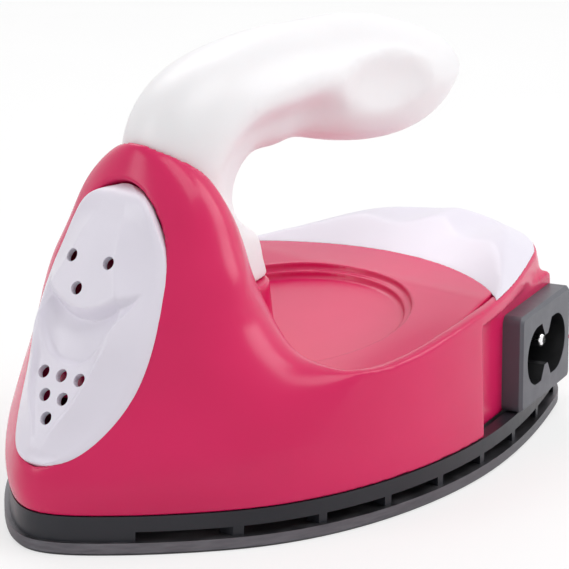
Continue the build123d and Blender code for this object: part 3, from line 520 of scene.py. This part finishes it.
def scoop_sink(across, up):
    """How far the scoop under the lip sinks in at a place of the plate."""
    side = min(abs(across) / SCOOP_TIP, 1.0)
    lip = SCOOP_LIP + SCOOP_LIP_RISE * side ** SCOOP_LIP_CURVE
    foot = SCOOP_FOOT + SCOOP_FOOT_RISE * side ** SCOOP_FOOT_CURVE
    if up <= foot or abs(across) >= SCOOP_TIP:
        return 0.0
    share = min((up - foot) / max(lip - foot, SCOOP_LEAST_HEIGHT), 1.0)
    start = min(share / SCOOP_START, 1.0)
    sunk = SCOOP_FOOT_STEP * start + (1 - SCOOP_FOOT_STEP) * share
    depth = SCOOP_DEPTH * (1 - side ** SCOOP_SIDE_CURVE) * sunk
    return depth * (1 - soft_step(up - lip, SCOOP_LIP_STEP))


def field_sink(across, up, flat):
    """How far the field of the lower holes lies under the ridge around it."""
    inside = soft_step(flat - FIELD_INSET - abs(across), FIELD_STEP)
    low = soft_step(up - FIELD_FROM, FIELD_FROM_STEP)
    high = 1 - soft_step(up - FIELD_TO, FIELD_TO_STEP)
    rise = min(max((up - FIELD_FROM) / (FIELD_TO - FIELD_FROM), 0.0), 1.0)
    sunk = FIELD_FOOT_SHARE + (1 - FIELD_FOOT_SHARE) * rise
    return FIELD_DEPTH * sunk * inside * low * high


def plate_point(across, up, height):
    """The place in space of a place on the plate's plane and a height over it."""
    return PLATE_FOOT + PLATE_ACROSS * across + PLATE_UP * up + PLATE_OUT * height


def node_surface(name):
    """The surface of a CAD node, to measure on."""
    node = frame["nodes"][name]
    measured = bmesh.new()
    measured.from_mesh(node.data)
    measured.transform(node.matrix_world)
    surface = BVHTree.FromBMesh(measured)
    measured.free()
    return surface


def height_on(surface, across, up):
    """How far a surface stands out at a place of the plate's plane."""
    place = surface.ray_cast(plate_point(across, up, MEASURED_FROM), -PLATE_OUT)[0]
    return (place - PLATE_FOOT).dot(PLATE_OUT)


def plate_edge_heights(shares):
    """How far the plate's edge stands out at each share of its length, evened out along it."""
    shell = node_surface("body_shell")
    heights = []
    for share in shares:
        side = plate_half_width(share) + EDGE_MEASURED_OUT
        up = share * PLATE_LENGTH
        heights.append(0.5 * (height_on(shell, side, up) + height_on(shell, -side, up)))
    heights = np.array(heights)
    for turn in range(EDGE_SMOOTHING):
        smooth_over(heights)
    proud = [PLATE_TOP_PROUD * soft_step(share - PLATE_TOP_FROM, PLATE_TOP_STEP)
             for share in shares]
    return heights + PLATE_RIM + np.array(proud)


def plate_profile(share, edge):
    """Across the plate at a share of its length: its half width, the crest's height, the half
    width of its flat middle, the slope beside it and the rounding of the crease."""
    half = plate_half_width(share)
    crest = shape_from_table(PLATE_CREST, share, MM)
    flat = min(shape_from_table(PLATE_FLAT, share, MM), FLAT_LARGEST * half)
    foot = soft_step(share - FOOT_END, FOOT_END_STEP)
    ends = foot * (1 - soft_step(share - TOP_END, TOP_END_STEP))
    crest = edge + max(crest - edge, 0.0) * (CREST_AT_ENDS + (1 - CREST_AT_ENDS) * ends)
    slope = (crest - edge) / max(half - flat, SIDE_NARROWEST)
    softer = soft_step(share - CREASE_TOP_FROM, CREASE_TOP_STEP)
    crease = CREASE_ROUND + (CREASE_ROUND_TOP - CREASE_ROUND) * softer
    return half, crest, flat, slope, crease


def plate_grid():
    """Places on the plate's plane, heights of its front over them and thickness behind them."""
    size = (PLATE_ROWS + 1, PLATE_COLUMNS + 1)
    heights, skirts, places = np.zeros(size), np.zeros(size), np.zeros((*size, 2))
    shares = [0.5 - 0.5 * math.cos(math.pi * (PLATE_END + (1 - 2 * PLATE_END) * i / PLATE_ROWS))
              for i in range(PLATE_ROWS + 1)]
    edges = plate_edge_heights(shares)
    for i, share in enumerate(shares):
        up = share * PLATE_LENGTH
        half, crest, flat, slope, crease = plate_profile(share, edges[i])
        to_end = min(up, PLATE_LENGTH - up) + PLATE_RIM_AT_ENDS
        for j in range(PLATE_COLUMNS + 1):
            across = half * math.sin(math.pi * (j / PLATE_COLUMNS - 0.5))
            side = slope * soft_ramp(abs(across) - flat, crease)
            base = crest - side - field_sink(across, up, flat)
            inward = min(half - abs(across), to_end)
            roll = max(1 - inward / PLATE_RIM_ROUND, 0.0) ** 2
            heights[i, j] = base - scoop_sink(across, up) - PLATE_RIM_ROLL * roll
            skirts[i, j] = PLATE_WALL + PLATE_RIM * soft_step(SKIRT_WITHIN - inward, SKIRT_STEP)
            places[i, j] = across, up
    for turn in range(GRID_SMOOTHING):
        smooth_over(heights)
        smooth_over(heights.T)
    return places, heights, skirts


def plate_mesh(places, heights, skirts):
    """A closed mesh with a front, a back and a wall all around."""
    plate = bmesh.new()
    front, back = [], []
    for i in range(PLATE_ROWS + 1):
        front.append([])
        back.append([])
        for j in range(PLATE_COLUMNS + 1):
            across, up = places[i, j]
            front[i].append(plate.verts.new(plate_point(across, up, heights[i, j])))
            back[i].append(plate.verts.new(plate_point(across, up, heights[i, j] - skirts[i, j])))
    for i in range(PLATE_ROWS):
        for j in range(PLATE_COLUMNS):
            plate.faces.new((front[i][j], front[i][j + 1], front[i + 1][j + 1], front[i + 1][j]))
            plate.faces.new((back[i][j], back[i + 1][j], back[i + 1][j + 1], back[i][j + 1]))
        for j, sign in ((0, 1), (PLATE_COLUMNS, -1)):
            wall = (front[i][j], front[i + 1][j], back[i + 1][j], back[i][j])
            plate.faces.new(wall[::sign])
    for i in (0, PLATE_ROWS):
        for j in range(PLATE_COLUMNS):
            plate.faces.new((front[i][j], back[i][j], back[i][j + 1], front[i][j + 1]))
    bmesh.ops.recalc_face_normals(plate, faces=plate.faces)
    mesh = bpy.data.meshes.new("front_plate_moulded")
    plate.to_mesh(mesh)
    plate.free()
    return mesh


def close_block(mesh, low, high):
    """Closes two rings of vertices to a block; seen from above both run counter-clockwise."""
    mesh.faces.new(list(reversed(low)))
    mesh.faces.new(high)
    for i in range(len(low)):
        j = (i + 1) % len(low)
        mesh.faces.new((low[i], low[j], high[j], high[i]))


def plate_bores():
    """Round bars that bore the plate's holes."""
    places = list(UPPER_HOLES)
    for row in range(HOLE_ROWS):
        last = HOLE_ROWS - 1 - row
        for i in range(last + 1):
            places.append(((i - last / 2) * HOLE_PITCH, HOLE_ROW - row * HOLE_ROW_PITCH))
    bars = bmesh.new()
    turns = [2 * math.pi * i / BORE_SIDES for i in range(BORE_SIDES)]
    for across, up in places:
        rings = [[bars.verts.new(plate_point(across * MM + HOLE_RADIUS * math.cos(turn),
                                             up * MM + HOLE_RADIUS * math.sin(turn), height))
                  for turn in turns] for height in (-BORE_REACH, BORE_REACH)]
        close_block(bars, *rings)
    bmesh.ops.recalc_face_normals(bars, faces=bars.faces)
    mesh = bpy.data.meshes.new("plate_bores")
    bars.to_mesh(mesh)
    bars.free()
    return mesh


def linked_object(name, data):
    """A new object in the scene."""
    made = bpy.data.objects.new(name, data)
    bpy.context.scene.collection.objects.link(made)
    return made


def finish_mesh(piece):
    """Applies the modifiers of a piece to its mesh."""
    shapes = bpy.context.evaluated_depsgraph_get()
    mesh = bpy.data.meshes.new_from_object(piece.evaluated_get(shapes))
    piece.modifiers.clear()
    piece.data = mesh


def shade_smooth(piece):
    """Smooth shading all over a piece."""
    piece.data.polygons.foreach_set("use_smooth", [True] * len(piece.data.polygons))


def build_plate(material):
    """The moulded front plate with its creases, scoop and holes."""
    piece = linked_object("front_plate_moulded", plate_mesh(*plate_grid()))
    bores = linked_object("plate_bores", plate_bores())
    cut = piece.modifiers.new("bores", "BOOLEAN")
    cut.operation = "DIFFERENCE"
    cut.solver = "EXACT"
    cut.object = bores
    finish_mesh(piece)
    bpy.data.objects.remove(bores)
    piece.data.materials.append(material)
    shade_smooth(piece)
    piece.data.set_sharp_from_angle(angle=math.radians(SHARP_ANGLE))
    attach(piece, "root")
    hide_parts("front_plate")


def vertex_places(mesh):
    """The places of a mesh's vertices, one row each."""
    places = np.empty(len(mesh.vertices) * 3)
    mesh.vertices.foreach_get("co", places)
    return places.reshape(-1, 3)


def move_vertices(mesh, places):
    """Puts a mesh's vertices in new places."""
    mesh.vertices.foreach_set("co", places.ravel())
    mesh.update()


def even(weight):
    """The same weight everywhere."""
    return lambda places: np.full(len(places), weight)


def by_height(level, above, below):
    """One weight above a level in millimetres and another below it."""
    return lambda places: np.where(places[:, 2] > level * MM, above, below)


def relax(mesh, weights, rounds):
    """Moves each vertex towards the middle of its neighbours, by its own weight."""
    places = vertex_places(mesh)
    count = len(places)
    ends = np.empty(len(mesh.edges) * 2, dtype=np.int64)
    mesh.edges.foreach_get("vertices", ends)
    first, second = ends.reshape(-1, 2).T
    near = np.bincount(first, minlength=count) + np.bincount(second, minlength=count)
    for turn in range(rounds):
        middle = np.empty_like(places)
        for axis in range(3):
            total = (np.bincount(first, places[second, axis], count)
                     + np.bincount(second, places[first, axis], count))
            middle[:, axis] = total / np.maximum(near, 1)
        places += weights(places)[:, None] * (middle - places)
    move_vertices(mesh, places)


def bend(mesh, lift):
    """Lifts each vertex by a length in millimetres that depends on its place."""
    places = vertex_places(mesh)
    x, y, z = places.T / MM
    places[:, 2] += lift(x, y, z) * MM
    move_vertices(mesh, places)


def upright_block(mesh, outline, low, high):
    """Adds a closed upright block with a plan outline, counter-clockwise in millimetres."""
    close_block(mesh, *([mesh.verts.new(Vector((x, y, z)) * MM) for x, y in outline]
                        for z in (low, high)))


def arc_points(x, y, radius, first, last, steps):
    """Plan points along an arc, from one angle to another in degrees."""
    turns = [math.radians(first + (last - first) * i / steps) for i in range(steps + 1)]
    return [(x + radius * math.cos(turn), y + radius * math.sin(turn)) for turn in turns]


def thicken_neck(mesh):
    """Backs the neck's round rear wall, which is thin at the corners of the well behind it."""
    outer = arc_points(NECK_MIDDLE_X, 0, NECK_WALL_OUT, -90, 90, NECK_WALL_STEPS)
    inner = arc_points(NECK_MIDDLE_X, 0, NECK_WALL_IN, 90, -90, NECK_WALL_STEPS)
    upright_block(mesh, outer + inner, *NECK_WALL_HEIGHTS)


def fill_screw_bores(mesh):
    """Closes the bores of the handle's foot around its screws."""
    last = 360 - 360 / FOOT_BORE_SIDES
    for x, y in FOOT_SCREWS:
        outline = arc_points(x, y, FOOT_BORE, 0, last, FOOT_BORE_SIDES - 1)
        upright_block(mesh, outline, *FOOT_BORE_HEIGHTS)


def moulded_copy(name, nodes, cell, add=None):
    """One closed fine mesh in the place of CAD nodes, to round its edges on."""
    joined = bmesh.new()
    for node_name in nodes:
        node = frame["nodes"][node_name]
        part = node.data.copy()
        part.transform(node.matrix_world)
        joined.from_mesh(part)
        bpy.data.meshes.remove(part)
    bmesh.ops.remove_doubles(joined, verts=joined.verts, dist=JOIN_WITHIN)
    if add:
        add(joined)
    mesh = bpy.data.meshes.new(name)
    joined.to_mesh(mesh)
    joined.free()
    piece = linked_object(name, mesh)
    remesh = piece.modifiers.new("remesh", "REMESH")
    remesh.mode = "VOXEL"
    remesh.voxel_size = cell
    finish_mesh(piece)
    return piece


def dress_moulded(piece, nodes, material):
    """Puts a moulded piece in the place of its CAD nodes, with their finish."""
    piece.data.materials.clear()
    piece.data.materials.append(material)
    shade_smooth(piece)
    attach(piece, "root")
    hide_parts(*nodes)


def smooth_share(value, low, high):
    """From 0 to 1 between two values, for arrays."""
    t = np.clip((value - low) / (high - low), 0, 1)
    return t * t * (3 - 2 * t)


def rim_rise(x):
    """How far the rim lies above the level deck line at places along X, in millimetres."""
    stations, rises = table_columns(RIM_RISE)
    fine = np.linspace(stations[0], stations[-1], RIM_PLACES)
    curve = np.interp(fine, stations, rises)
    for turn in range(RIM_SMOOTHING):
        smooth_over(curve)
    return np.interp(x, fine, curve)


def rim_lift(x, y, z):
    """How far the shell's rim is bent up, off the hood and the neck."""
    upper = smooth_share(z, RIM_BEND_FROM, RIM_LEVEL)
    away = np.maximum(smooth_share(np.abs(y), *RIM_BEND_SIDE), smooth_share(x, *RIM_BEND_HEEL))
    return rim_rise(x) * upper * away


def within(z, level, half):
    """1 at a level, falling to 0 at half a height above and below it."""
    return np.clip(1 - np.abs(z - level) / half, 0, 1) ** 0.5


def off_neck(x, y):
    """0 around the neck and 1 beside it and towards the nose."""
    return np.maximum(smooth_share(np.abs(y), *OFF_NECK_SIDE), smooth_share(-x, *OFF_NECK_NOSE))


def band_weights(places):
    """Weights in the band where the hood meets the lower body."""
    x, y, z = places.T / MM
    along = smooth_share(-x, *BAND_ALONG) ** BAND_CURVE
    return BAND_WEIGHT * within(z, *BAND) * along * off_neck(x, y)


def ledge_weights(places):
    """Weights on the ledge beside the hood, which end before the nose."""
    x, y, z = places.T / MM
    along = smooth_share(-x, *LEDGE_ALONG) ** LEDGE_CURVE
    along = along * np.clip((x + LEDGE_END) / LEDGE_END_RUN, 0, 1)
    return LEDGE_WEIGHT * within(z, *LEDGE) * along * off_neck(x, y)


def build_shell(material):
    """The shell with rounded edges and a bent rim, its hood run into the lower body."""
    piece = moulded_copy("body_shell_moulded", ["body_shell"], SHELL_CELL, thicken_neck)
    bend(piece.data, rim_lift)
    relax(piece.data, even(SHELL_WEIGHT), SHELL_ROUNDS)
    relax(piece.data, band_weights, BAND_ROUNDS)
    relax(piece.data, ledge_weights, LEDGE_ROUNDS)
    dress_moulded(piece, ["body_shell"], material)


def spread_foot(mesh):
    """Widens the foot of the handle to the heel and the sides, down to the neck."""
    places = vertex_places(mesh)
    x, y, z = places.T / MM
    low = 1 - smooth_share(z, *FOOT_HEIGHTS)
    heel = smooth_share(x, *FOOT_ALONG)
    places[:, 0] += FOOT_SPREAD * low * heel
    places[:, 1] *= 1 + FOOT_WIDER * low * heel
    move_vertices(mesh, places)


def build_handle(material):
    """The handle, its halves joined and the finger dishes run out softly."""
    nodes = ["handle_left", "handle_right"]
    piece = moulded_copy("handle_moulded", nodes, HANDLE_CELL, fill_screw_bores)
    spread_foot(piece.data)
    relax(piece.data, by_height(*HANDLE_WEIGHTS), HANDLE_ROUNDS)
    dress_moulded(piece, nodes, material)


def close_round_neck(mesh):
    """Draws the edge of the deck's opening in to the neck."""
    places = vertex_places(mesh)
    x, y, z = places.T / MM
    behind = np.maximum(x - NECK_MIDDLE_X, 0.0)
    away = np.maximum(np.hypot(behind, y), 1.0)
    share = 1 - DECK_DRAWN_IN * (1 - smooth_share(away, *DECK_DRAWN)) / away
    places[:, 0] += behind * (share - 1) * MM
    places[:, 1] *= share
    move_vertices(mesh, places)


def deck_lift(x, y, z):
    """How far the deck is lifted: its slope, and at the heel no more than the cap leaves."""
    sloped = DECK_MIDDLE_LEVEL - DECK_LEVEL + DECK_SLOPE * (x - DECK_MIDDLE_X)
    share = smooth_share(x, *DECK_CAP_ALONG)
    return sloped * (1 - share) + np.minimum(sloped, rim_rise(x) + DECK_UNDER_CAP) * share


def build_deck(material):
    """The deck cover on its slope, with round edges."""
    piece = moulded_copy("deck_cover_moulded", ["deck_cover"], DECK_CELL)
    close_round_neck(piece.data)
    bend(piece.data, deck_lift)
    relax(piece.data, even(DECK_WEIGHT), DECK_ROUNDS)
    dress_moulded(piece, ["deck_cover"], material)


def cap_lift(x, y, z):
    """How far the cap goes up with the rim and its top down to its share."""
    above = np.maximum(z - RIM_LEVEL, 0)
    return rim_rise(x) + above * (CAP_TOP_SHARE - 1)


def build_cap(material):
    """The rear cap with soft lumps."""
    piece = moulded_copy("rear_cap_moulded", ["rear_cap"], CAP_CELL)
    bend(piece.data, cap_lift)
    relax(piece.data, by_height(*CAP_WEIGHTS), CAP_ROUNDS)
    dress_moulded(piece, ["rear_cap"], material)


def aim(thing, azimuth, elevation, distance):
    """Sets an object at a distance from the iron, facing it; azimuth 0 looks along +Y."""
    turn, rise = math.radians(azimuth), math.radians(elevation)
    away = Vector((math.sin(turn) * math.cos(rise), -math.cos(turn) * math.cos(rise),
                   math.sin(rise)))
    thing.location = CAMERA_TARGET + away * distance
    thing.rotation_euler = (CAMERA_TARGET - thing.location).to_track_quat("-Z", "Y").to_euler()


def build_camera():
    """The photograph's camera."""
    data = bpy.data.cameras.new("camera")
    data.sensor_width = SENSOR_WIDTH
    data.lens = FOCAL_PIXELS * SENSOR_WIDTH / IMAGE_SIZE
    data.clip_start = CAMERA_NEAR
    camera = linked_object("camera", data)
    aim(camera, CAMERA_AZIMUTH, CAMERA_ELEVATION, CAMERA_DISTANCE)
    bpy.context.scene.camera = camera


def build_lights():
    """Soft light from above and from both sides."""
    for name, (azimuth, elevation, size, power) in LIGHTS.items():
        data = bpy.data.lights.new(name, "AREA")
        data.shape = "RECTANGLE"
        data.size, data.size_y = size
        data.energy = power
        aim(linked_object(name, data), azimuth, elevation, LIGHT_DISTANCE)


def build_floor():
    """A pale floor that runs out of sight, a little brighter to the camera than it is lit."""
    mesh = bpy.data.meshes.new("floor")
    signs = ((-1, -1), (1, -1), (1, 1), (-1, 1))
    corners = [(x * FLOOR_REACH, y * FLOOR_REACH, 0) for x, y in signs]
    mesh.from_pydata(corners, [], [(0, 1, 2, 3)])
    floor = linked_object("floor", mesh)
    material, tree, shader = new_material("floor")
    vary_colour(tree, shader, object_noise(tree, FLOOR_NOISE, DRIFT_DETAIL), FLOOR_COLOURS)
    shader.inputs["Roughness"].default_value = FLOOR_ROUGHNESS
    glow = tree.nodes.new("ShaderNodeEmission")
    path = tree.nodes.new("ShaderNodeLightPath")
    share = tree.nodes.new("ShaderNodeMath")
    share.operation = "MULTIPLY"
    share.inputs[1].default_value = FLOOR_GLOW
    blend = tree.nodes.new("ShaderNodeMixShader")
    out = tree.nodes["Material Output"]
    tree.links.new(path.outputs["Is Camera Ray"], share.inputs[0])
    tree.links.new(share.outputs["Value"], blend.inputs["Fac"])
    tree.links.new(shader.outputs["BSDF"], blend.inputs[1])
    tree.links.new(glow.outputs["Emission"], blend.inputs[2])
    tree.links.new(blend.outputs["Shader"], out.inputs["Surface"])
    mesh.materials.append(material)


def build_world():
    """White surroundings: brighter to the camera than the light that they give."""
    world = bpy.data.worlds.new("world")
    world.use_nodes = True
    bpy.context.scene.world = world
    tree = world.node_tree
    back = tree.nodes["Background"]
    path = tree.nodes.new("ShaderNodeLightPath")
    mix = tree.nodes.new("ShaderNodeMix")
    mix.inputs["A"].default_value = WORLD_GIVES
    mix.inputs["B"].default_value = WORLD_LOOKS
    shown = path.outputs["Is Camera Ray"]
    for ray in ("Is Glossy Ray", "Is Transmission Ray"):
        either = tree.nodes.new("ShaderNodeMath")
        either.operation = "MAXIMUM"
        tree.links.new(shown, either.inputs[0])
        tree.links.new(path.outputs[ray], either.inputs[1])
        shown = either.outputs["Value"]
    tree.links.new(shown, mix.inputs["Factor"])
    tree.links.new(mix.outputs["Result"], back.inputs["Strength"])
    back.inputs["Color"].default_value = (1, 1, 1, 1)


clear_starting_objects()
build_world()
build_lights()
build_floor()
build_camera()
materials = build_materials()
dress_cad_nodes(materials)
build_plate(materials["white_plastic"])
build_shell(materials["pink_shell"])
build_handle(materials["handle_plastic"])
build_deck(materials["pink_shell"])
build_cap(materials["white_plastic"])
bpy.context.scene.view_settings.view_transform = "Standard"
